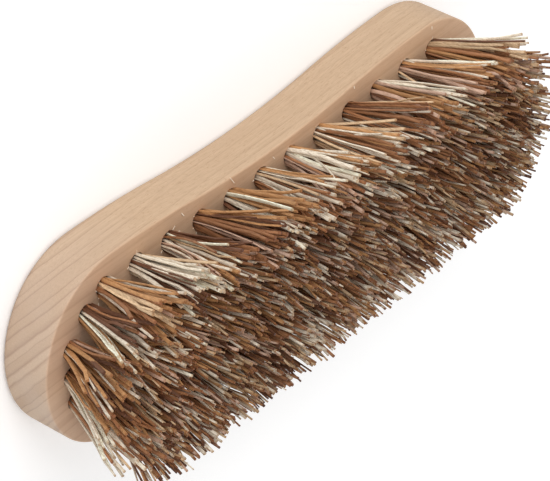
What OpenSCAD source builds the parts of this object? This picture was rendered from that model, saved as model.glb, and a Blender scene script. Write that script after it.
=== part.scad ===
// Wooden scrubbing brush with a waisted beech block and splayed tufts of stiff plant fibre.
// Units are millimetres. The brush lies on the flat back of its block, with the bristles up.
// X runs along the block, Y across it, and the origin is at the middle of the back.
// Every tuft is folded round a wire staple that is driven into the floor of its own drilled hole.

/* [Block] */

// Overall length of the block
block_length = 210; // [202:1:225]

// Width over the two round ends
block_width = 67; // [62:0.5:72]

// Width at the waist, half way along
waist_width = 57.8; // [54:0.2:62]

// Thickness from the flat back to the bristle face
block_thick = 18.5; // [16:0.5:22]

// Radius of the blunt arc at each end
nose_radius = 37; // [35:0.5:39]

// Radius of the corners between an end and a long side
shoulder_radius = 29.5; // [27:0.5:31]

// Rounding along the edge of the back
back_round = 2.6; // [1.5:0.1:4]

// Small chamfer along the edge of the bristle face
face_chamfer = 0.6; // [0.3:0.1:1.2]

/* [Holes] */

// Diameter of the drilled holes
hole_d = 6.6; // [6.4:0.1:7]

// Wood left between the floor of a hole and the back
hole_floor = 7; // [6:0.5:9]

// Distance from the end of the block to the last hole of an outer row
row_end_inset = 26.9; // [26:0.1:29]

// Distance from the side wall to the middle of an outer row, at the waist
waist_edge = 6.9; // [6.4:0.1:8]

// Distance from the side wall to the middle of an outer row, at the round ends
bulge_edge = 9.9; // [9:0.1:10.5]

/* [Bristles] */

// Length of the bristles out of the bristle face
bristle_length = 28.5; // [24:0.5:34]

// How far the tips of the outer rows lean out to the side
side_splay = 5.5; // [4:0.5:7]

// How far the tips at the two ends lean out past their holes
end_splay = 7.5; // [5:0.5:9]

// Distance across the corners of one square bristle
strand_d = 1.9; // [1.6:0.1:1.9]

// Radius of the ring of bristles at the tips
ring_tip = 4.5; // [3.8:0.1:4.6]

// How much the tips differ in height from the trimmed plane
trim_uneven = 0.8; // [0:0.1:1.2]

/* [Staples] */

// Diameter of the staple wire
wire_d = 1.1; // [0.9:0.1:1.2]

// Distance between the middles of the two legs
staple_width = 4; // [3.6:0.1:4.2]

// Height of the staple's crown above the floor of the hole
crown_height = 3.2; // [2.8:0.1:4]

// How deep the legs reach into the wood under the hole
leg_bite = 3.5; // [2.5:0.1:4.5]

// Turn of each staple away from the grain of the wood
staple_turn = 45; // [30:5:60]

/* [Hidden] */

// Colours of beech, of the fibres and of the staple wire
BEECH = [0.84, 0.72, 0.57];
FIBRE = [0.62, 0.45, 0.3];
STEEL = [0.7, 0.7, 0.72];

// Flat steps in the drawn circles
ROUND_STEPS = 32;
WIRE_STEPS = 16;

// Steps along each arc of the block's outline, and round the edge of its back
FLANK_STEPS = 6;
SHOULDER_STEPS = 13;
NOSE_STEPS = 7;
EDGE_STEPS = 5;

// Room between a packed tuft and its hole, and between a staple and what it sits in
FIT = 0.05;

// How far tools run past the surface that they cut
OVERRUN = 2;

// Half sizes of the block
half_length = block_length / 2;
half_width = block_width / 2;
half_waist = waist_width / 2;
waist_drop = half_width - half_waist;

// Centre of the nose arc, and of the shoulder arc that runs into it and touches the full width
nose_x = half_length - nose_radius;
shoulder_y = half_width - shoulder_radius;
shoulder_x = nose_x + sqrt(pow(nose_radius - shoulder_radius, 2) - pow(shoulder_y, 2));
shoulder_turn = atan2(shoulder_y, shoulder_x - nose_x);

// The flank and the waist are arcs of one radius that meet half way, one hollow and one round
flank_radius = (pow(shoulder_x, 2) + pow(waist_drop, 2)) / (4 * waist_drop);
flank_turn = asin(shoulder_x / (2 * flank_radius));

// Holes: six in each half of an outer row, and rows between them that stand half a pitch off
OUTER_HALF = 6;
MIDDLE_HALF = 5;
outer_row_waist = half_waist - waist_edge;
outer_row_bulge = half_width - bulge_edge;
row_end_x = half_length - row_end_inset;
hole_pitch = row_end_x / (OUTER_HALF - 0.5);
hole_depth = block_thick - hole_floor;
INNER_ROW_SHARE = 0.5;

// The holes that fill each round end: share of the way from the outer row's last hole to the end
// of the block, and share of the outer row's distance from the centre line
END_PAIR_SHARES = [[0.3, 0.775], [0.57, 0.4], [0.09, 0.27]];

// The hole nearest to each end lies on the centre line, at this share of the same way
END_CENTRE_SHARE = 0.6;
end_hole_x = row_end_x + END_CENTRE_SHARE * row_end_inset;

// Tips lean out towards the ends only beyond this share of the outer row's length
SPLAY_FROM = 0.75;
splay_from_x = row_end_x * SPLAY_FROM;

// Each tuft has one bristle in the middle and a ring round it, which starts a little inside the
// edge of the hole. The bristles are fused to the packed fibres over the depth STRAND_ROOT.
RING = 6;
RING_INSIDE = 0.25;
STRAND_SIDES = 4;
STRAND_ROOT = 3;
ring_root = hole_d / 2 - strand_d / 2 - RING_INSIDE;

// The packed fibres of a tuft stand this far out of the hole
BUNDLE_RISE = 1.3;

// Steps that make the trim differ from one bristle to the next
TRIM_STEP_A = 137;
TRIM_STEP_B = 61;
TRIM_STEP_C = 47;

// Sides and ends of the brush, as signs
FRONT = -1;
BACK = 1;
LEFT = -1;
RIGHT = 1;

// Distance of a row from the centre line at x, for its distances at the waist and the round ends
function row_y(x, waist, bulge) =
    waist + (bulge - waist) * (1 - cos(180 * min(abs(x) / shoulder_x, 1))) / 2;

function outer_row(side, end) = [
    for (i = [0 : OUTER_HALF - 1])
        let (x = end * hole_pitch * (i + 0.5))
        [x, side * row_y(x, outer_row_waist, outer_row_bulge)]
];

// The hole at the very middle of an inner row counts with the left half
function inner_row(side, end) = [
    for (i = [end == LEFT ? 0 : 1 : OUTER_HALF - 1])
        let (x = end * hole_pitch * i)
        [x, side * INNER_ROW_SHARE * row_y(x, outer_row_waist, outer_row_bulge)]
];

function middle_row(end) = [
    for (i = [0 : MIDDLE_HALF - 1])
        [end * hole_pitch * (i + 0.5), 0]
];

function end_group(end) = concat(
    [for (pair = END_PAIR_SHARES, side = [FRONT, BACK])
        [end * (row_end_x + pair[0] * row_end_inset), side * pair[1] * outer_row_bulge]],
    [[end * end_hole_x, 0]]
);

function all_holes() = concat(
    outer_row(FRONT, LEFT), outer_row(FRONT, RIGHT),
    inner_row(FRONT, LEFT), inner_row(FRONT, RIGHT),
    middle_row(LEFT), middle_row(RIGHT),
    inner_row(BACK, LEFT), inner_row(BACK, RIGHT),
    outer_row(BACK, LEFT), outer_row(BACK, RIGHT),
    end_group(LEFT), end_group(RIGHT)
);

// Where the middle of a tuft ends, over the hole at p
function tuft_tip(p) = [
    p[0] + sign(p[0]) * end_splay
        * max(0, (abs(p[0]) - splay_from_x) / (end_hole_x - splay_from_x)),
    p[1] * (1 + side_splay / outer_row_bulge),
    block_thick + bristle_length
];

function tuft_root(p) = [p[0], p[1], block_thick];

function unit(v) = v / norm(v);

// Difference in height of bristle i of the tuft at p, repeatable and without a pattern
function trim(p, i) =
    trim_uneven * sin(TRIM_STEP_A * i + TRIM_STEP_B * p[0] + TRIM_STEP_C * p[1]);

// Turns the children's Z axis to direction d and moves them to point a
module aim(a, d) {
    translate(a)
        rotate([0, acos(d[2] / norm(d)), atan2(d[1], d[0])])
            children();
}

// Outline of a quarter of the block as stations, each the centre and signed radius of its arc and
// the angle of the outward normal. They run from the middle of the waist to the tip of the nose.
function arc_stations(centre, radius, from, to, steps) = [
    for (i = [0 : steps - 1])
        [centre, radius, from + (to - from) * i / steps]
];

function quarter_stations() = concat(
    arc_stations(
        [0, half_waist + flank_radius], -flank_radius, 90, 90 + flank_turn, FLANK_STEPS
    ),
    arc_stations(
        [shoulder_x, half_width - flank_radius], flank_radius, 90 + flank_turn, 90, FLANK_STEPS
    ),
    arc_stations(
        [shoulder_x, shoulder_y], shoulder_radius, 90, shoulder_turn, SHOULDER_STEPS
    ),
    arc_stations([nose_x, 0], nose_radius, shoulder_turn, 0, NOSE_STEPS),
    [[[nose_x, 0], nose_radius, 0]]
);

// The point of a station, moved in square to the outline by inset
function outline_point(station, inset) =
    station[0] + (station[1] - inset) * [cos(station[2]), sin(station[2])];

// The whole outline at height z, clockwise from the middle of the back waist
function ring(inset, z) =
    let (
        q = [for (s = quarter_stations()) outline_point(s, inset)],
        n = len(q) - 1
    )
    concat(
        [for (i = [0 : n]) [q[i][0], q[i][1], z]],
        [for (i = [n - 1 : -1 : 0]) [q[i][0], -q[i][1], z]],
        [for (i = [1 : n]) [-q[i][0], -q[i][1], z]],
        [for (i = [n - 1 : -1 : 1]) [-q[i][0], q[i][1], z]]
    );

// Edge of the block from its back to its bristle face: how far in from the side wall, and height
function edge_profile() = concat(
    [for (i = [0 : EDGE_STEPS])
        let (a = 90 * i / EDGE_STEPS)
        [back_round * (1 - sin(a)), back_round * (1 - cos(a))]],
    [[0, block_thick - face_chamfer], [face_chamfer, block_thick]]
);

// The block before drilling, lofted through its edge profile and closed by a fan at each end
module blank() {
    profile = edge_profile();
    rings = [for (e = profile) ring(e[0], e[1])];
    n = len(rings[0]);
    levels = len(rings);
    back_middle = n * levels;
    face_middle = back_middle + 1;
    polyhedron(
        points = concat(
            [for (r = rings, p = r) p],
            [[0, 0, 0], [0, 0, block_thick]]
        ),
        faces = concat(
            [for (k = [0 : levels - 2], i = [0 : n - 1])
                [k * n + i, (k + 1) * n + i, (k + 1) * n + (i + 1) % n]],
            [for (k = [0 : levels - 2], i = [0 : n - 1])
                [k * n + i, (k + 1) * n + (i + 1) % n, k * n + (i + 1) % n]],
            [for (i = [0 : n - 1]) [i, (i + 1) % n, back_middle]],
            [for (i = [0 : n - 1])
                [(levels - 1) * n + (i + 1) % n, (levels - 1) * n + i, face_middle]]
        )
    );
}

// A hole with the two small holes that the staple's legs have made in its floor
module hole(p) {
    aim(tuft_root(p), tuft_tip(p) - tuft_root(p))
        rotate([0, 0, staple_turn]) {
            translate([0, 0, -hole_depth])
                cylinder(h = hole_depth + OVERRUN, d = hole_d, $fn = ROUND_STEPS);
            for (side = [-1, 1])
                translate([side * staple_width / 2, 0, -hole_depth - leg_bite - FIT])
                    cylinder(h = leg_bite + OVERRUN / 2, d = wire_d + 2 * FIT, $fn = WIRE_STEPS);
        }
}

// A staple round the fold of its tuft, grown all over by grow
module staple(grow) {
    bend = wire_d;
    leg = crown_height + leg_bite - bend;
    for (side = [0, 1])
        mirror([side, 0, 0])
            translate([staple_width / 2, 0, -hole_depth - leg_bite - grow]) {
                cylinder(h = leg + grow, d = wire_d + 2 * grow, $fn = WIRE_STEPS);
                translate([-bend, 0, leg + grow])
                    rotate([90, 0, 0])
                        rotate_extrude(angle = 90, $fn = ROUND_STEPS)
                            translate([bend, 0])
                                circle(d = wire_d + 2 * grow, $fn = WIRE_STEPS);
            }
    translate([-staple_width / 2 + bend, 0, -hole_depth + crown_height])
        rotate([0, 90, 0])
            cylinder(h = staple_width - 2 * bend, d = wire_d + 2 * grow, $fn = WIRE_STEPS);
}

// The folded fibres packed into a hole, with a tunnel for the staple
module bundle(p) {
    aim(tuft_root(p), tuft_tip(p) - tuft_root(p))
        difference() {
            translate([0, 0, -hole_depth + FIT])
                cylinder(h = hole_depth + BUNDLE_RISE - FIT, d = hole_d - 2 * FIT, $fn = ROUND_STEPS);
            rotate([0, 0, staple_turn])
                staple(FIT);
        }
}

// One square bristle from a point in the bundle to its tip
module strand(a, b, turn) {
    d = unit(b - a);
    aim(a - STRAND_ROOT * d, d)
        rotate([0, 0, turn])
            cylinder(h = norm(b - a) + STRAND_ROOT, d = strand_d, $fn = STRAND_SIDES);
}

module tuft(p) {
    root = tuft_root(p);
    tip = tuft_tip(p);
    bundle(p);
    strand(root, tip + [0, 0, trim(p, RING)], 0);
    for (i = [0 : RING - 1]) {
        a = 360 / RING * i;
        spoke = [cos(a), sin(a), 0];
        strand(root + ring_root * spoke, tip + ring_tip * spoke + [0, 0, trim(p, i)], a);
    }
}

module tufts(holes) {
    color(FIBRE)
        for (p = holes)
            tuft(p);
}

module staples(holes) {
    color(STEEL)
        for (p = holes)
            aim(tuft_root(p), tuft_tip(p) - tuft_root(p))
                rotate([0, 0, staple_turn])
                    staple(0);
}

module block() {
    color(BEECH)
        difference() {
            blank();
            for (p = all_holes())
                hole(p);
        }
}

module tufts_front_outer_left() { tufts(outer_row(FRONT, LEFT)); }
module tufts_front_outer_right() { tufts(outer_row(FRONT, RIGHT)); }
module tufts_front_inner_left() { tufts(inner_row(FRONT, LEFT)); }
module tufts_front_inner_right() { tufts(inner_row(FRONT, RIGHT)); }
module tufts_middle_left() { tufts(middle_row(LEFT)); }
module tufts_middle_right() { tufts(middle_row(RIGHT)); }
module tufts_back_inner_left() { tufts(inner_row(BACK, LEFT)); }
module tufts_back_inner_right() { tufts(inner_row(BACK, RIGHT)); }
module tufts_back_outer_left() { tufts(outer_row(BACK, LEFT)); }
module tufts_back_outer_right() { tufts(outer_row(BACK, RIGHT)); }
module tufts_end_left() { tufts(end_group(LEFT)); }
module tufts_end_right() { tufts(end_group(RIGHT)); }

module staples_front_outer_left() { staples(outer_row(FRONT, LEFT)); }
module staples_front_outer_right() { staples(outer_row(FRONT, RIGHT)); }
module staples_front_inner_left() { staples(inner_row(FRONT, LEFT)); }
module staples_front_inner_right() { staples(inner_row(FRONT, RIGHT)); }
module staples_middle_left() { staples(middle_row(LEFT)); }
module staples_middle_right() { staples(middle_row(RIGHT)); }
module staples_back_inner_left() { staples(inner_row(BACK, LEFT)); }
module staples_back_inner_right() { staples(inner_row(BACK, RIGHT)); }
module staples_back_outer_left() { staples(outer_row(BACK, LEFT)); }
module staples_back_outer_right() { staples(outer_row(BACK, RIGHT)); }
module staples_end_left() { staples(end_group(LEFT)); }
module staples_end_right() { staples(end_group(RIGHT)); }

block();
tufts_front_outer_left();
tufts_front_outer_right();
tufts_front_inner_left();
tufts_front_inner_right();
tufts_middle_left();
tufts_middle_right();
tufts_back_inner_left();
tufts_back_inner_right();
tufts_back_outer_left();
tufts_back_outer_right();
tufts_end_left();
tufts_end_right();
staples_front_outer_left();
staples_front_outer_right();
staples_front_inner_left();
staples_front_inner_right();
staples_middle_left();
staples_middle_right();
staples_back_inner_left();
staples_back_inner_right();
staples_back_outer_left();
staples_back_outer_right();
staples_end_left();
staples_end_right();
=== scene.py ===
import math
import random

import bmesh
import bpy
from mathutils import Matrix, Vector


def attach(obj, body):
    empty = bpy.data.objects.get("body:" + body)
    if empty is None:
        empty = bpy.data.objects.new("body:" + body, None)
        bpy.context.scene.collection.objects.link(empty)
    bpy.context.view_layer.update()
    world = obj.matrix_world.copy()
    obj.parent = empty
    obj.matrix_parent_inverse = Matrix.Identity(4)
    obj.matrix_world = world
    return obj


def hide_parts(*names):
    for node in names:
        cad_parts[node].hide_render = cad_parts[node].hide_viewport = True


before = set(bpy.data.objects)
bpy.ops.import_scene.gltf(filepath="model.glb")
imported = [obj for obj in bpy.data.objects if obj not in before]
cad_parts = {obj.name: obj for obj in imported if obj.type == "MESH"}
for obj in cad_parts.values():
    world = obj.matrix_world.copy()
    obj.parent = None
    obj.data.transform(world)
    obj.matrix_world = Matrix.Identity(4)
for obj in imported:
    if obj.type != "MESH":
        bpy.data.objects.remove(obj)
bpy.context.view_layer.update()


# Block
# The body of the brush is one piece of beech with a narrow waist to hold it by. Its outline is
# sawn, the edge of its back is rounded over and the whole is sanded but neither oiled nor
# painted. Seventy holes are drilled in its upper face, those near the edge leaning outwards.

MM = 0.001
LENGTH = 210 * MM
WIDTH = 67 * MM
WAIST = 57.8 * MM
THICK = 18.5 * MM
NOSE_RADIUS = 37 * MM
SHOULDER_RADIUS = 29.5 * MM
BACK_ROUND = 2.6 * MM
FACE_CHAMFER = 0.6 * MM
OUTLINE_STEP = 1.1 * MM
ROUND_STEPS = 8
SIDE_STEPS = 6
CHAMFER_STEPS = 3
SHARP_EDGE = math.radians(40)

# The middles of the nose arc and of the shoulder arc, which touch.
NOSE_X = LENGTH / 2 - NOSE_RADIUS
SHOULDER_Y = WIDTH / 2 - SHOULDER_RADIUS
SHOULDER_X = NOSE_X + math.sqrt((NOSE_RADIUS - SHOULDER_RADIUS) ** 2 - SHOULDER_Y ** 2)

# The holes stand in five rows and in a fan of seven at each round end. The holes of a fan are
# given as shares of the room beyond the rows, and across as shares of the outer rows' distance.
HOLE_RADIUS = 3.3 * MM
HOLE_DEPTH = 11.5 * MM
RIM_POINTS = 36
OUTER_ROW_AT_WAIST = 22 * MM
OUTER_ROW_AT_ENDS = 23.6 * MM
FAN_ROOM = 26.9 * MM
FAN_PAIRS = ((0.3, 0.775), (0.57, 0.4), (0.09, 0.27))
FAN_MIDDLE = 0.6
HALF_ROW = 6
ROW_END = LENGTH / 2 - FAN_ROOM
FAN_END = ROW_END + FAN_MIDDLE * FAN_ROOM
PITCH = ROW_END / (HALF_ROW - 0.5)

# How far the outermost tufts lean out over the length of the bristles. Along the block the lean
# begins only near the ends.
BRISTLE_LENGTH = 28.5 * MM
END_LEAN = 7.5 * MM
SIDE_LEAN = 5.5 * MM
LEAN_START = ROW_END * 0.75


def block_arcs():
    """Centre, signed radius and first and last angle of each arc of a quarter of the outline."""
    turn = math.atan2(SHOULDER_Y, SHOULDER_X - NOSE_X)
    drop = (WIDTH - WAIST) / 2
    flank = (SHOULDER_X ** 2 + drop ** 2) / (4 * drop)
    sweep = math.asin(SHOULDER_X / (2 * flank))
    quarter = math.pi / 2
    return [
        ((0, WAIST / 2 + flank), -flank, quarter, quarter + sweep),
        ((SHOULDER_X, WIDTH / 2 - flank), flank, quarter + sweep, quarter),
        ((SHOULDER_X, SHOULDER_Y), SHOULDER_RADIUS, quarter, turn),
        ((NOSE_X, 0), NOSE_RADIUS, turn, 0),
    ]


def block_ring(inset):
    """The block's outline drawn in by inset, as points round it."""
    quarter = []
    for (cx, cy), radius, first, last in block_arcs():
        steps = max(4, round(abs(radius * (last - first)) / OUTLINE_STEP))
        for i in range(steps):
            angle = first + (last - first) * i / steps
            reach = radius - inset
            quarter.append((cx + reach * math.cos(angle), cy + reach * math.sin(angle)))
    quarter.append((LENGTH / 2 - inset, 0))
    ring = quarter + [(x, -y) for x, y in reversed(quarter[:-1])]
    ring += [(-x, -y) for x, y in quarter[1:]]
    ring += [(-x, y) for x, y in reversed(quarter[1:-1])]
    return ring


def edge_profile():
    """How far the side lies in from the outline, and at what height, from the back to the face."""
    profile = []
    for i in range(ROUND_STEPS + 1):
        turn = math.pi / 2 * i / ROUND_STEPS
        profile.append((BACK_ROUND * (1 - math.sin(turn)), BACK_ROUND * (1 - math.cos(turn))))
    for i in range(1, SIDE_STEPS + 1):
        profile.append((0, BACK_ROUND + (THICK - FACE_CHAMFER - BACK_ROUND) * i / SIDE_STEPS))
    for i in range(1, CHAMFER_STEPS + 1):
        turn = math.pi / 2 * i / CHAMFER_STEPS
        profile.append(
            (FACE_CHAMFER * (1 - math.cos(turn)), THICK - FACE_CHAMFER * (1 - math.sin(turn)))
        )
    return profile


def row_distance(x):
    """How far an outer row of holes lies from the middle line at x."""
    share = (1 - math.cos(math.pi * min(abs(x) / SHOULDER_X, 1))) / 2
    return OUTER_ROW_AT_WAIST + (OUTER_ROW_AT_ENDS - OUTER_ROW_AT_WAIST) * share


def hole_rows():
    """The middles of the holes, by the CAD node that holds the tufts of each row."""
    rows = {}
    for side, side_name in ((-1, "front"), (1, "back")):
        for end, end_name in ((-1, "left"), (1, "right")):
            outer = [end * PITCH * (i + 0.5) for i in range(HALF_ROW)]
            inner = [end * PITCH * i for i in range(0 if end < 0 else 1, HALF_ROW)]
            rows[f"tufts_{side_name}_outer_{end_name}"] = [
                (x, side * row_distance(x)) for x in outer
            ]
            rows[f"tufts_{side_name}_inner_{end_name}"] = [
                (x, side * row_distance(x) / 2) for x in inner
            ]
    for end, end_name in ((-1, "left"), (1, "right")):
        rows[f"tufts_middle_{end_name}"] = [
            (end * PITCH * (i + 0.5), 0.0) for i in range(HALF_ROW - 1)
        ]
        rows[f"tufts_end_{end_name}"] = [
            (end * (ROW_END + along * FAN_ROOM), side * across * OUTER_ROW_AT_ENDS)
            for along, across in FAN_PAIRS for side in (-1, 1)
        ] + [(end * FAN_END, 0.0)]
    return rows


def tuft_lean(x, y):
    """How far the middle of a tuft leans out, along and across, where its tips are trimmed."""
    along = math.copysign(max(0, (abs(x) - LEAN_START) / (FAN_END - LEAN_START)), x)
    return END_LEAN * along, SIDE_LEAN / OUTER_ROW_AT_ENDS * y


def hole_axis(x, y):
    lean_x, lean_y = tuft_lean(x, y)
    return Vector((lean_x, lean_y, BRISTLE_LENGTH)).normalized()


def drilled_hole(mesh, x, y, shaken):
    """The wall and floor of a hole. Its rim, which comes back, is a little ragged."""
    axis = hole_axis(x, y)
    side = axis.cross(Vector((0, 1, 0))).normalized()
    up = side.cross(axis)
    rims = []
    for depth, wobble in ((0, 0.09 * MM), (0.5 * MM, 0.03 * MM), (HOLE_DEPTH, 0)):
        rim = []
        for i in range(RIM_POINTS):
            turn = 2 * math.pi * i / RIM_POINTS
            reach = HOLE_RADIUS + shaken.uniform(-0.3, 1) * wobble
            place = Vector((x, y, THICK)) - axis * depth
            place += reach * (math.cos(turn) * side + math.sin(turn) * up)
            if depth == 0:
                place -= axis * ((place.z - THICK) / axis.z)
            rim.append(mesh.verts.new(place))
        rims.append(rim)
    for high, low in zip(rims, rims[1:]):
        for i in range(RIM_POINTS):
            j = (i + 1) % RIM_POINTS
            mesh.faces.new((high[i], high[j], low[j], low[i]))
    mesh.faces.new(rims[-1])
    return rims[0]


def ring_edges(mesh, ring):
    return [mesh.edges.get((ring[i], ring[(i + 1) % len(ring)])) for i in range(len(ring))]


def block_mesh():
    mesh = bmesh.new()
    rings = [
        [mesh.verts.new((x, y, z)) for x, y in block_ring(inset)] for inset, z in edge_profile()
    ]
    for low, high in zip(rings, rings[1:]):
        for i in range(len(low)):
            j = (i + 1) % len(low)
            mesh.faces.new((low[j], low[i], high[i], high[j]))
    mesh.faces.new(rings[0])
    # The upper face is filled between its edge and the rims of the holes.
    shaken = random.Random(11)
    edges = ring_edges(mesh, rings[-1])
    for row in hole_rows().values():
        for x, y in row:
            edges += ring_edges(mesh, drilled_hole(mesh, x, y, shaken))
    bmesh.ops.triangle_fill(mesh, edges=edges, use_beauty=True, normal=(0, 0, 1))
    bmesh.ops.recalc_face_normals(mesh, faces=mesh.faces)
    data = bpy.data.meshes.new("beech_block")
    mesh.to_mesh(data)
    mesh.free()
    data.shade_smooth()
    data.set_sharp_from_angle(angle=SHARP_EDGE)
    return data


def feed(tree, socket, value):
    """Sets a socket to a number or colour, or joins it to another node's output."""
    if isinstance(value, bpy.types.NodeSocket):
        tree.links.new(value, socket)
    else:
        socket.default_value = value


def add(tree, kind, **inputs):
    """A shader node with its inputs fed by their names."""
    node = tree.nodes.new(kind)
    for name, value in inputs.items():
        feed(tree, node.inputs[name.replace("_", " ")], value)
    return node


def maths(tree, operation, *values, clamped=False):
    node = tree.nodes.new("ShaderNodeMath")
    node.operation = operation
    node.use_clamp = clamped
    for socket, value in zip(node.inputs, values):
        feed(tree, socket, value)
    return node.outputs[0]


def by_number(tree, kind, number, **inputs):
    """A noise node that goes by one number in place of a position."""
    node = add(tree, kind, **inputs)
    node.noise_dimensions = "1D"
    tree.links.new(number, node.inputs["W"])
    return node


def shade(r, g, b):
    """A colour as a paint card gives it, 0 to 255, as the light that it sends back."""
    def linear(c):
        c /= 255
        return c / 12.92 if c <= 0.04045 else ((c + 0.055) / 1.055) ** 2.4
    return (linear(r), linear(g), linear(b), 1)


def ramp(tree, factor, *stops):
    """A colour that goes from stop to stop with the factor."""
    node = add(tree, "ShaderNodeValToRGB", Fac=factor)
    bar = node.color_ramp
    while len(bar.elements) < len(stops):
        bar.elements.new(0.5)
    for element, (place, colour) in zip(bar.elements, stops):
        element.position = place
        element.color = shade(*colour)
    return node.outputs["Color"]


def mixed(tree, blend, factor, under, over):
    node = tree.nodes.new("ShaderNodeMix")
    node.data_type = "RGBA"
    node.blend_type = blend
    for socket, value in ((0, factor), (6, under), (7, over)):
        feed(tree, node.inputs[socket], value)
    return node.outputs[2]


def material(name):
    made = bpy.data.materials.new(name)
    made.use_nodes = True
    tree = made.node_tree
    return made, tree, tree.nodes["Principled BSDF"]


def in_mm(tree, turn=(0, 0, 0)):
    """The piece's own coordinates in millimetres, turned."""
    place = add(tree, "ShaderNodeTexCoord").outputs["Object"]
    turned = add(tree, "ShaderNodeMapping", Vector=place, Rotation=turn, Scale=(1000, 1000, 1000))
    return turned.outputs[0]


def grain_group():
    """Grain in the piece's own millimetres, finer or coarser along each direction."""
    group = bpy.data.node_groups.new("grain", "ShaderNodeTree")
    for name, kind in (("Fineness", "Vector"), ("Detail", "Float"), ("Roughness", "Float")):
        group.interface.new_socket(name, in_out="INPUT", socket_type="NodeSocket" + kind)
    group.interface.new_socket("Grain", in_out="OUTPUT", socket_type="NodeSocketFloat")
    asked = group.nodes.new("NodeGroupInput").outputs
    drawn = add(group, "ShaderNodeMapping", Vector=in_mm(group), Scale=asked["Fineness"])
    noise = add(group, "ShaderNodeTexNoise", Vector=drawn.outputs[0], Scale=1,
                Detail=asked["Detail"], Roughness=asked["Roughness"])
    given = group.nodes.new("NodeGroupOutput")
    group.links.new(noise.outputs["Fac"], given.inputs["Grain"])
    return group


drawn_out_grain = grain_group()


def grain_in(tree, fineness, detail, roughness):
    """The grain group placed in a material with its own values."""
    node = tree.nodes.new("ShaderNodeGroup")
    node.node_tree = drawn_out_grain
    node.inputs["Fineness"].default_value = fineness
    node.inputs["Detail"].default_value = detail
    node.inputs["Roughness"].default_value = roughness
    return node.outputs["Grain"]


# Lengths in the wood's pattern are in millimetres.
YEAR_WIDTH = 2.9
RING_WAVE = 2.0
RING_UNEVEN = 5.0
RING_SLOPE = (math.radians(40.5), math.radians(0.9), math.radians(1.2))
HANDLED_FROM = 55
HANDLED_TO = 98


def beech():
    made, tree, finish = material("beech")
    # The year rings are layers along the block that slope across its section. They wave a
    # little, and their widths are uneven.
    waves = grain_in(tree, (0.012, 0.09, 0.09), 2, 0.5)
    layers = add(tree, "ShaderNodeSeparateXYZ", Vector=in_mm(tree, RING_SLOPE))
    wavy = maths(tree, "MULTIPLY_ADD", waves, RING_WAVE, layers.outputs["Z"])
    uneven = by_number(tree, "ShaderNodeTexNoise", wavy, Scale=0.3, Detail=1)
    bent = maths(tree, "MULTIPLY_ADD", uneven.outputs["Fac"], RING_UNEVEN, wavy)
    years = maths(tree, "DIVIDE", bent, YEAR_WIDTH)
    late = ramp(tree, maths(tree, "FRACT", years), (0.0, (70, 70, 70)), (0.12, (0, 0, 0)),
                (0.62, (20, 20, 20)), (0.84, (188, 188, 188)), (0.93, (255, 255, 255)),
                (1.0, (70, 70, 70)))
    # They show more towards the end that has been handled.
    along = add(tree, "ShaderNodeSeparateXYZ", Vector=in_mm(tree)).outputs["X"]
    handled = add(tree, "ShaderNodeMapRange", Value=along, From_Min=HANDLED_FROM,
                  From_Max=HANDLED_TO).outputs[0]
    shown = maths(tree, "MULTIPLY", late, maths(tree, "MULTIPLY_ADD", handled, 0.68, 0.3))
    ringed = mixed(tree, "MIX", shown, shade(213, 185, 155), shade(172, 136, 108))
    # Each year's width is its own tone.
    tone = by_number(tree, "ShaderNodeTexWhiteNoise", maths(tree, "FLOOR", years))
    toned = mixed(tree, "MULTIPLY", maths(tree, "MULTIPLY_ADD", handled, 0.5, 0.4), ringed, ramp(
        tree, tone.outputs["Value"], (0.0, (230, 221, 212)), (1.0, (255, 255, 255))))
    # Fine grain runs with the length, and short dark rays lie in it.
    grain = grain_in(tree, (0.09, 2.2, 2.2), 5, 0.62)
    grained = mixed(tree, "MULTIPLY", 0.75, toned, ramp(
        tree, grain, (0.3, (234, 230, 227)), (0.62, (255, 255, 255))))
    rays = grain_in(tree, (0.5, 5.5, 5.5), 1, 0.4)
    rayed = mixed(tree, "MULTIPLY", 0.6, grained, ramp(
        tree, rays, (0.27, (214, 192, 176)), (0.36, (255, 255, 255))))
    # The wood is greyer and pinker at the handled end too, in soft clouds.
    clouds = maths(tree, "MULTIPLY", grain_in(tree, (0.02, 0.05, 0.05), 3, 0.5), 0.8)
    aged = mixed(tree, "MIX", maths(tree, "MULTIPLY", handled, clouds), rayed,
                 shade(204, 184, 169))
    # The face that the bristles stand in is a little browner than the sanded sides. This is painted
    #     # light, standing in for less lamp light on the face and the warm light that the fibres
    #     throw onto it.
    facing = add(tree, "ShaderNodeTexCoord").outputs["Normal"]
    upward = add(tree, "ShaderNodeSeparateXYZ", Vector=facing).outputs["Z"]
    painted_bounce_on_face = mixed(tree, "MIX", maths(tree, "MULTIPLY", upward, 0.4, clamped=True), aged,
                    shade(214, 170, 136))
    tree.links.new(painted_bounce_on_face, finish.inputs["Base Color"])
    rough = add(tree, "ShaderNodeMapRange", Value=grain, To_Min=0.62, To_Max=0.48)
    tree.links.new(rough.outputs[0], finish.inputs["Roughness"])
    bump = add(tree, "ShaderNodeBump", Height=grain, Strength=0.18, Distance=0.15 * MM)
    tree.links.new(bump.outputs["Normal"], finish.inputs["Normal"])
    finish.inputs["Specular IOR Level"].default_value = 0.3
    return made


block = bpy.data.objects.new("beech_block", block_mesh())
bpy.context.collection.objects.link(block)
block.data.materials.append(beech())
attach(block, "root")
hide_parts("block")


# Tufts
# Each hole holds a tuft of stiff plant fibres, split from leaf stalks and mixed from cream to
# dark brown. They are folded round a wire staple and driven into the hole, spring apart above
# it and were trimmed level, so their ends are cut square.

FIBRE_SIDES = 6
FIBRE_TAPER = 0.12
FIBRE_EDGE = math.radians(62)
FOLD_DEPTH = 8 * MM
HELD_DEPTH = 1.5 * MM
MOUTH_GAP = 0.12 * MM
GOLDEN_ANGLE = 2.39996
TRIMMED_OVER = 0.7 * MM
TALLEST_OVER = 1.0 * MM

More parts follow.
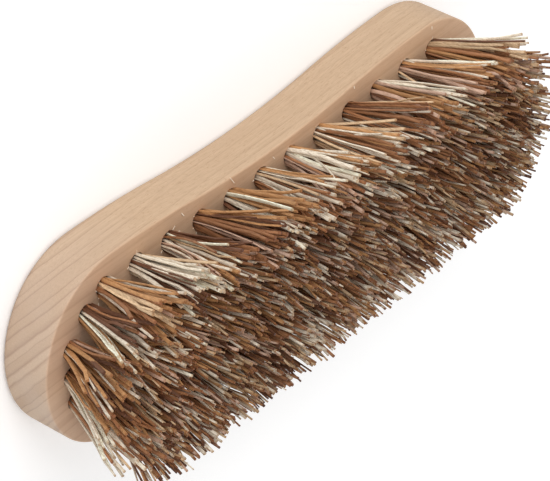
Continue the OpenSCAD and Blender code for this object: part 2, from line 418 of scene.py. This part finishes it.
# In millimetres, how unevenly the fibres are trimmed, how much shorter the short ones are, and
# how far fibres bow, kink and stand off. The other values are shares of all the fibres.
TRIM_UNEVEN = 0.8
SHORT_ONES = 0.28
SHORTER_BY = (0.5, 5)
BOW = 0.5
KINK = 0.28
ASTRAY_ONES = 0.05
ASTRAY_BY = 2.5

# No tip reaches further than this from the middle, along and across, and the tips that near it
# are drawn in over the last stretch.
REACH_ALONG = 109.9 * MM
REACH_ACROSS = 34.4 * MM
REACH_EASE = 3 * MM

FIBRE_TONES = {
    "cream": (238, 227, 208), "tan": (216, 187, 151), "pink": (207, 175, 154),
    "orange": (186, 140, 95), "brown": (160, 112, 77), "dark": (112, 75, 54),
}
TUFT_MIX = (18, 14, 14, 14, 26, 14)
FIBRE_MIX = (20, 12, 14, 12, 26, 16)
BANDS = 5

# The tufts that show from mouth to tip, by the place of their hole in millimetres: how far they
# lean along and across, and their fibres from the upper to the lower side that the camera sees.
SHOWN_TUFTS = {
    (-78, -24): (-10.5, 0.0, "cream tan brown orange brown"),
    (-64, -23): (-8.5, -0.5, "cream orange brown pink dark"),
    (-50, -23): (-1.0, -2.0, "cream orange orange brown pink"),
    (-35, -23): (-5.5, -2.4, "tan brown cream brown cream"),
    (-21, -22): (-4.0, -1.8, "tan cream brown cream tan"),
    (-7, -22): (-0.5, -1.8, "orange cream cream brown pink"),
    (7, -22): (1.0, -2.8, "orange cream brown cream brown"),
    (21, -22): (-0.5, -3.2, "orange orange cream cream dark"),
    (35, -23): (-4.5, -2.4, "orange dark brown pink brown"),
    (50, -23): (0.0, -3.6, "dark brown cream orange cream"),
    (64, -23): (0.5, -4.5, "cream cream cream dark cream"),
    (78, -24): (2.5, -4.0, "orange orange tan brown orange"),
    (86, -18): (7.0, -4.0, "pink dark cream cream orange"),
    (93, -9): (8.0, -3.5, "brown dark orange orange cream"),
    (94, 0): (8.5, 1.0, "dark brown orange cream cream"),
    (93, 9): (4.6, 2.6, "brown cream brown cream cream"),
    (86, 18): (0.2, 0.4, "orange dark cream brown brown"),
    (-86, -18): (-2.5, 1.0, "brown tan brown pink dark"),
}

# Places in millimetres. Behind BACK_ROW and beyond END_FANS the tufts have more fibres, so that
# # no table shows between them, and beyond END_FANS they lean less along. Beyond NEAR_END their
# # fibres get painted light that makes them brighter.
SAME_HOLE = 2
BACK_ROW = 20
END_FANS = 79
NEAR_END = 60


def shown_tuft(x, y):
    """What the table of shown tufts says of the hole at x, y, or nothing."""
    for (px, py), entry in SHOWN_TUFTS.items():
        if math.hypot(x / MM - px, y / MM - py) < SAME_HOLE:
            return entry
    return None


def fibre(out, path, radius, flat, turn, tint=(1, 1, 1, 1)):
    """One fibre as a thin tube along a path, with a square cut end, added to the lists in out."""
    points, faces, tints, shares = out
    start = len(points)
    rings = len(path)
    for k, place in enumerate(path):
        ahead = path[min(k + 1, rings - 1)] - path[max(k - 1, 0)]
        ahead.normalize()
        side = ahead.cross(Vector((math.cos(turn), math.sin(turn), 0.1))).normalized()
        up = ahead.cross(side)
        share = k / (rings - 1)
        thick = radius * (1 - FIBRE_TAPER * share)
        for i in range(FIBRE_SIDES):
            angle = 2 * math.pi * i / FIBRE_SIDES
            points.append(place + thick * (math.cos(angle) * side * flat + math.sin(angle) * up))
            tints.append(tint)
            shares.append(share)
    for k in range(rings - 1):
        low = start + k * FIBRE_SIDES
        for i in range(FIBRE_SIDES):
            j = (i + 1) % FIBRE_SIDES
            faces.append((low + i, low + j, low + FIBRE_SIDES + j, low + FIBRE_SIDES + i))
    faces.append(tuple(start + i for i in reversed(range(FIBRE_SIDES))))
    faces.append(tuple(start + (rings - 1) * FIBRE_SIDES + i for i in range(FIBRE_SIDES)))


def fibres_object(name, out, finish):
    """The fibres in out as one object, with flat sides."""
    points, faces = out[:2]
    data = bpy.data.meshes.new(name)
    data.from_pydata([tuple(p) for p in points], [], faces)
    data.materials.append(finish)
    piece = bpy.data.objects.new(name, data)
    bpy.context.collection.objects.link(piece)
    return piece


def round_and_tint(data, out):
    """Rounds the fibres' sides, and gives each point its tint and its share of the length."""
    tints, shares = out[2:]
    tint_layer = data.attributes.new("fibre_tint", "FLOAT_COLOR", "POINT")
    tint_layer.data.foreach_set("color", [c for tint in tints for c in tint])
    share_layer = data.attributes.new("fibre_share", "FLOAT", "POINT")
    share_layer.data.foreach_set("value", shares)
    data.shade_smooth()


def bent_line(first, middle, last, count):
    """Points on a bend from first to last that middle pulls towards itself."""
    steps = [k / (count - 1) for k in range(count)]
    return [(1 - t) ** 2 * first + 2 * t * (1 - t) * middle + t ** 2 * last for t in steps]


def sideways(chance, size):
    return Vector((chance.gauss(0, size), chance.gauss(0, size), 0))


def drawn_in(distance, reach):
    """A tip's distance from the middle, eased off so that it stays within the reach."""
    over = abs(distance) - reach + REACH_EASE
    if over <= 0:
        return distance
    return math.copysign(reach - REACH_EASE * math.exp(-over / REACH_EASE), distance)


def fibre_path(mouth, side, axis, chance):
    """From the fold in the hole up to the mouth, and in a bow with a kink to the tip."""
    length = BRISTLE_LENGTH + TRIMMED_OVER + chance.gauss(0, TRIM_UNEVEN) * MM
    if chance.random() < SHORT_ONES:
        length -= chance.uniform(*SHORTER_BY) * MM
    rise = math.sqrt(max(length ** 2 - side.length_squared, (0.6 * length) ** 2))
    tip = mouth + side + Vector((0, 0, min(rise, BRISTLE_LENGTH + TALLEST_OVER)))
    tip.x, tip.y = drawn_in(tip.x, REACH_ALONG), drawn_in(tip.y, REACH_ACROSS)
    straight = tip - mouth
    knee = mouth + straight.length * 0.4 * (axis * 0.4 + straight.normalized() * 0.6)
    bow, kink = sideways(chance, BOW) * MM, sideways(chance, KINK) * MM
    path = bent_line(mouth, knee, tip, 6)
    path = [place + bow * math.sin(math.pi * (k / 5)) for k, place in enumerate(path)]
    path[-2] += kink
    return [mouth - axis * FOLD_DEPTH, mouth - axis * HELD_DEPTH] + path


def tuft(out, x, y, chance):
    """All the fibres of the tuft in the hole at x, y."""
    shown = shown_tuft(x, y)
    if shown:
        # Thicker fibres in bands of one tone, made brighter by painted light.
        along, across, tones = shown
        lean = Vector((along * MM, across * MM, 0))
        kinds = tones.split()
        fibres, mean_radius, scatter, odd_ones, light = 38, 0.58 * MM, 0.6 * MM, 0.18, 1.22
        spread = chance.uniform(6.0, 6.8) * MM
    else:
        lean_x, lean_y = tuft_lean(x, y)
        if abs(x) > END_FANS * MM:
            lean_x *= 0.4
        lean = Vector((lean_x + chance.gauss(-0.8, 1.0) * MM, lean_y + chance.gauss(0, 1.0) * MM, 0))
        kinds = chance.choices(list(FIBRE_TONES), TUFT_MIX, k=BANDS)
        fibres, mean_radius, scatter, odd_ones = 52, 0.46 * MM, 1.1 * MM, 0.6
        # Painted light: the tufts beyond NEAR_END are brighter than the rest.
        light = 1.18 if x > NEAR_END * MM else 0.99
        spread = chance.uniform(6.2, 7.2) * MM
        if y > BACK_ROW * MM or abs(x) > END_FANS * MM:
            fibres, spread = 74, spread * 1.12
    axis = hole_axis(x, y)
    for n in range(fibres):
        reach = math.sqrt((n + 0.5) / fibres)
        angle = n * GOLDEN_ANGLE + chance.uniform(-0.2, 0.2)
        spoke = Vector((math.cos(angle), math.sin(angle), 0))
        mouth = Vector((x, y, THICK)) + reach * (HOLE_RADIUS - MOUTH_GAP) * spoke
        side = lean + spread * reach * chance.uniform(0.85, 1.1) * spoke
        side += sideways(chance, scatter)
        if chance.random() < ASTRAY_ONES:
            side += sideways(chance, ASTRAY_BY) * MM
        path = fibre_path(mouth, side, axis, chance)
        # The bands of tone follow one another along the diagonal that runs down the picture.
        lower = 0.5 + 0.5 * reach * math.cos(angle - math.pi / 4) + chance.gauss(0, 0.08)
        kind = kinds[min(BANDS - 1, max(0, int(lower * BANDS)))]
        if chance.random() < odd_ones:
            kind = chance.choices(list(FIBRE_TONES), FIBRE_MIX)[0]
        # Each fibre's own random tone, times its tuft's painted light.
        fibre_tone_and_painted_light = light * chance.uniform(0.78, 1.08)
        tint = tuple(min(1.0, c * fibre_tone_and_painted_light) for c in shade(*FIBRE_TONES[kind])[:3]) + (1.0,)
        radius = mean_radius * chance.uniform(0.65, 1.35)
        flat = chance.uniform(0.5, 1.0)
        fibre(out, path, radius, flat, chance.uniform(0, math.pi), tint)


def plant_fibre():
    made, tree, finish = material("plant_fibre")
    tint = tree.nodes.new("ShaderNodeAttribute")
    tint.attribute_name = "fibre_tint"
    share = tree.nodes.new("ShaderNodeAttribute")
    share.attribute_name = "fibre_share"
    streaks = grain_in(tree, (2.6, 2.6, 0.16), 3, 0.6)
    streaked = mixed(tree, "MULTIPLY", 0.8, tint.outputs["Color"], ramp(
        tree, streaks, (0.3, (186, 172, 160)), (0.6, (255, 255, 255))))
    # The stalks are darker where they come out of the hole, painted shade of the hole together
    #     # with dirt, and a little browner at the cut.
    root_shade_and_dirt = mixed(tree, "MULTIPLY", 1.0, streaked, ramp(
        tree, share.outputs["Fac"], (0.22, (150, 118, 96)), (0.34, (255, 255, 255))))
    cut = mixed(tree, "MULTIPLY", 1.0, root_shade_and_dirt, ramp(
        tree, share.outputs["Fac"], (0.985, (255, 255, 255)), (1.0, (206, 184, 164))))
    tree.links.new(cut, finish.inputs["Base Color"])
    finish.inputs["Roughness"].default_value = 0.5
    finish.inputs["Specular IOR Level"].default_value = 0.35
    bump = add(tree, "ShaderNodeBump", Height=streaks, Strength=0.3, Distance=0.1 * MM)
    tree.links.new(bump.outputs["Normal"], finish.inputs["Normal"])
    return made


fibre_finish = plant_fibre()
for number, (name, row) in enumerate(hole_rows().items()):
    chance = random.Random(400 + number)
    out = ([], [], [], [])
    for x, y in row:
        tuft(out, x, y, chance)
    tufts = fibres_object(name.replace("tufts", "fibres"), out, fibre_finish)
    round_and_tint(tufts.data, out)
    tufts.data.set_sharp_from_angle(angle=FIBRE_EDGE)
    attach(tufts, "root")
    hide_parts(name)


# Splinters
# The drill has torn small slivers of beech at the rims of the holes, and a few more stand near
# the edge of the face. They are paler than the sanded wood.

SPLINTER_FOOT = 18.45
SLIVERS = (
    ((21.1, -29.7), (20.2, -27.6)), ((43.4, -29.7), (42.8, -28.5)),
    ((1.3, -26.2), (0.7, -25.2)), ((80.8, -19.1), (81.9, -17.9)),
    ((86.4, -8.3), (87.8, -9.1)), ((93.5, 10.9), (94.6, 9.9)),
    ((-78.2, -32.0), (-77.8, -31.2)), ((-38.5, -30.7), (-38.2, -29.9)),
    ((74.4, -22.6), (75, -21.5)),
)


def torn_beech():
    made, tree, finish = material("torn_beech")
    pale = ramp(tree, grain_in(tree, (3, 3, 3), 2, 0.6), (0.3, (232, 212, 186)),
                (0.7, (248, 236, 218)))
    tree.links.new(pale, finish.inputs["Base Color"])
    finish.inputs["Roughness"].default_value = 0.75
    return made


def splinter(out, low, high, radius, turn):
    fibre(out, [low, low.lerp(high, 0.5), high], radius, 0.6, turn)


out = ([], [], [], [])
chance = random.Random(77)
for (ax, ay), (bx, by) in SLIVERS:
    low = Vector((ax, ay, SPLINTER_FOOT)) * MM
    high = Vector((bx, by, SPLINTER_FOOT + chance.uniform(0.3, 0.9))) * MM
    splinter(out, low, high, chance.uniform(0.14, 0.2) * MM, 0)
for row in hole_rows().values():
    for x, y in row:
        for number in range(chance.choice([0, 1, 2, 3])):
            turn = chance.uniform(0, 2 * math.pi)
            reach = HOLE_RADIUS * Vector((math.cos(turn), math.sin(turn), 0))
            low = Vector((x, y, THICK)) + reach * 1.03
            high = low + chance.uniform(0.15, 0.5) * reach
            high += chance.uniform(0.2, 0.7) * MM * Vector((0, 0, 1))
            splinter(out, low, high, chance.uniform(0.1, 0.17) * MM, turn)
splinters = fibres_object("drill_splinters", out, torn_beech())
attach(splinters, "root")


# Stray fibres
# A few fibres have come out of line. One has curled up off the face at the near end, and the
# others lie across their neighbours in the near row.

STRAYS = (
    ("cream", 0.3, ((96.0, -8.7, 18.8), (91.7, -10.2, 21.5), (87.6, -9.2, 24))),
    ("dark", 0.34, ((64.6, -18.9, 19), (63.2, -21.5, 27), (60.6, -27.1, 38))),
    ("cream", 0.4, ((-36, -24, 18), (-37, -27.5, 33), (-43.5, -29.5, 45))),
    ("cream", 0.36, ((-9, -23, 18), (-7, -26.5, 32), (1.5, -28.5, 44))),
    ("tan", 0.36, ((22, -23, 18), (20, -26, 31), (11, -26.5, 43))),
    ("pink", 0.34, ((50, -24, 18), (53, -27, 31), (60, -27, 43))),
)

out = ([], [], [], [])
for kind, radius, bend in STRAYS:
    path = bent_line(*(Vector(place) * MM for place in bend), 8)
    fibre(out, path, radius * MM, 0.8, 1.0, shade(*FIBRE_TONES[kind]))
strays = fibres_object("stray_fibres", out, fibre_finish)
round_and_tint(strays.data, out)
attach(strays, "root")


# Staples
# A staple of drawn steel wire sits across the floor of each hole, over the fold of the tuft, and
# its legs are driven into the wood. None of them shows once the tufts are in.

def drawn_wire():
    made, tree, finish = material("drawn_wire")
    drawing = grain_in(tree, (9, 9, 0.8), 3, 0.55)
    tone = ramp(tree, drawing, (0.35, (150, 150, 153)), (0.65, (188, 188, 190)))
    tree.links.new(tone, finish.inputs["Base Color"])
    rough = add(tree, "ShaderNodeMapRange", Value=drawing, To_Min=0.28, To_Max=0.42)
    tree.links.new(rough.outputs[0], finish.inputs["Roughness"])
    finish.inputs["Metallic"].default_value = 1.0
    return made


wire_finish = drawn_wire()
for name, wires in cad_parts.items():
    if name.startswith("staples"):
        wires.data.materials.clear()
        wires.data.materials.append(wire_finish)


# Floor
# The brush lies on the flat of its back on a smooth pale table top, which the camera sees as
# white but for the brush's own soft shadow.

bpy.ops.mesh.primitive_plane_add(size=8)
table = bpy.context.object
table.name = "table_top"
made, tree, finish = material("pale_table")
pale = ramp(tree, grain_in(tree, (0.01, 0.01, 0.01), 2, 0.5), (0.3, (236, 236, 236)),
            (0.7, (240, 240, 240)))
seen = add(tree, "ShaderNodeLightPath").outputs["Is Camera Ray"]
whiter = mixed(tree, "MIX", seen, pale, (1, 1, 1, 1))
tree.links.new(whiter, finish.inputs["Base Color"])
glow = mixed(tree, "MIX", seen, (0, 0, 0, 1), (0.14, 0.14, 0.14, 1))
tree.links.new(glow, finish.inputs["Emission Color"])
finish.inputs["Emission Strength"].default_value = 1.0
finish.inputs["Roughness"].default_value = 0.8
finish.inputs["Specular IOR Level"].default_value = 0.1
table.data.materials.append(made)


# Light
# A white studio stands round the brush and lights it evenly. One broad soft lamp adds a little
# more light from the side that the camera looks from.

world = bpy.data.worlds.new("studio")
world.use_nodes = True
walls = world.node_tree.nodes["Background"]
walls.inputs["Color"].default_value = (1, 1, 1, 1)
walls.inputs["Strength"].default_value = 0.85
bpy.context.scene.world = world

LAMP_PLACE = Vector((0.35, -1.0, 0.55))
LAMP_AIM = Vector((0, 0, 0.02))
light = bpy.data.lights.new("soft_lamp", "AREA")
light.size = 0.5
light.energy = 5.0
lamp = bpy.data.objects.new("soft_lamp", light)
bpy.context.collection.objects.link(lamp)
lamp.location = LAMP_PLACE
lamp.rotation_euler = (LAMP_AIM - LAMP_PLACE).to_track_quat("-Z", "Y").to_euler()


# Camera
# A long lens looks down on the brush from beyond its right end and its front side, turned so
# that the brush runs from the lower left to the upper right.

VIEW_FROM = Vector((0.59217285, -0.59954221, 0.53871268))
VIEW_RIGHT = Vector((-0.64354692, 0.02953169, 0.76483674))
VIEW_UP = Vector((-0.48188512, -0.79198921, -0.37488642))
camera = bpy.data.cameras.new("camera")
camera.sensor_width = 36
camera.lens = 207.85
camera.clip_start = 0.05
viewer = bpy.data.objects.new("camera", camera)
bpy.context.collection.objects.link(viewer)
turned = Matrix((VIEW_RIGHT, VIEW_UP, VIEW_RIGHT.cross(VIEW_UP))).transposed().to_4x4()
turned.translation = VIEW_FROM
viewer.matrix_world = turned
bpy.context.scene.camera = viewer

bpy.context.scene.view_settings.view_transform = "Standard"
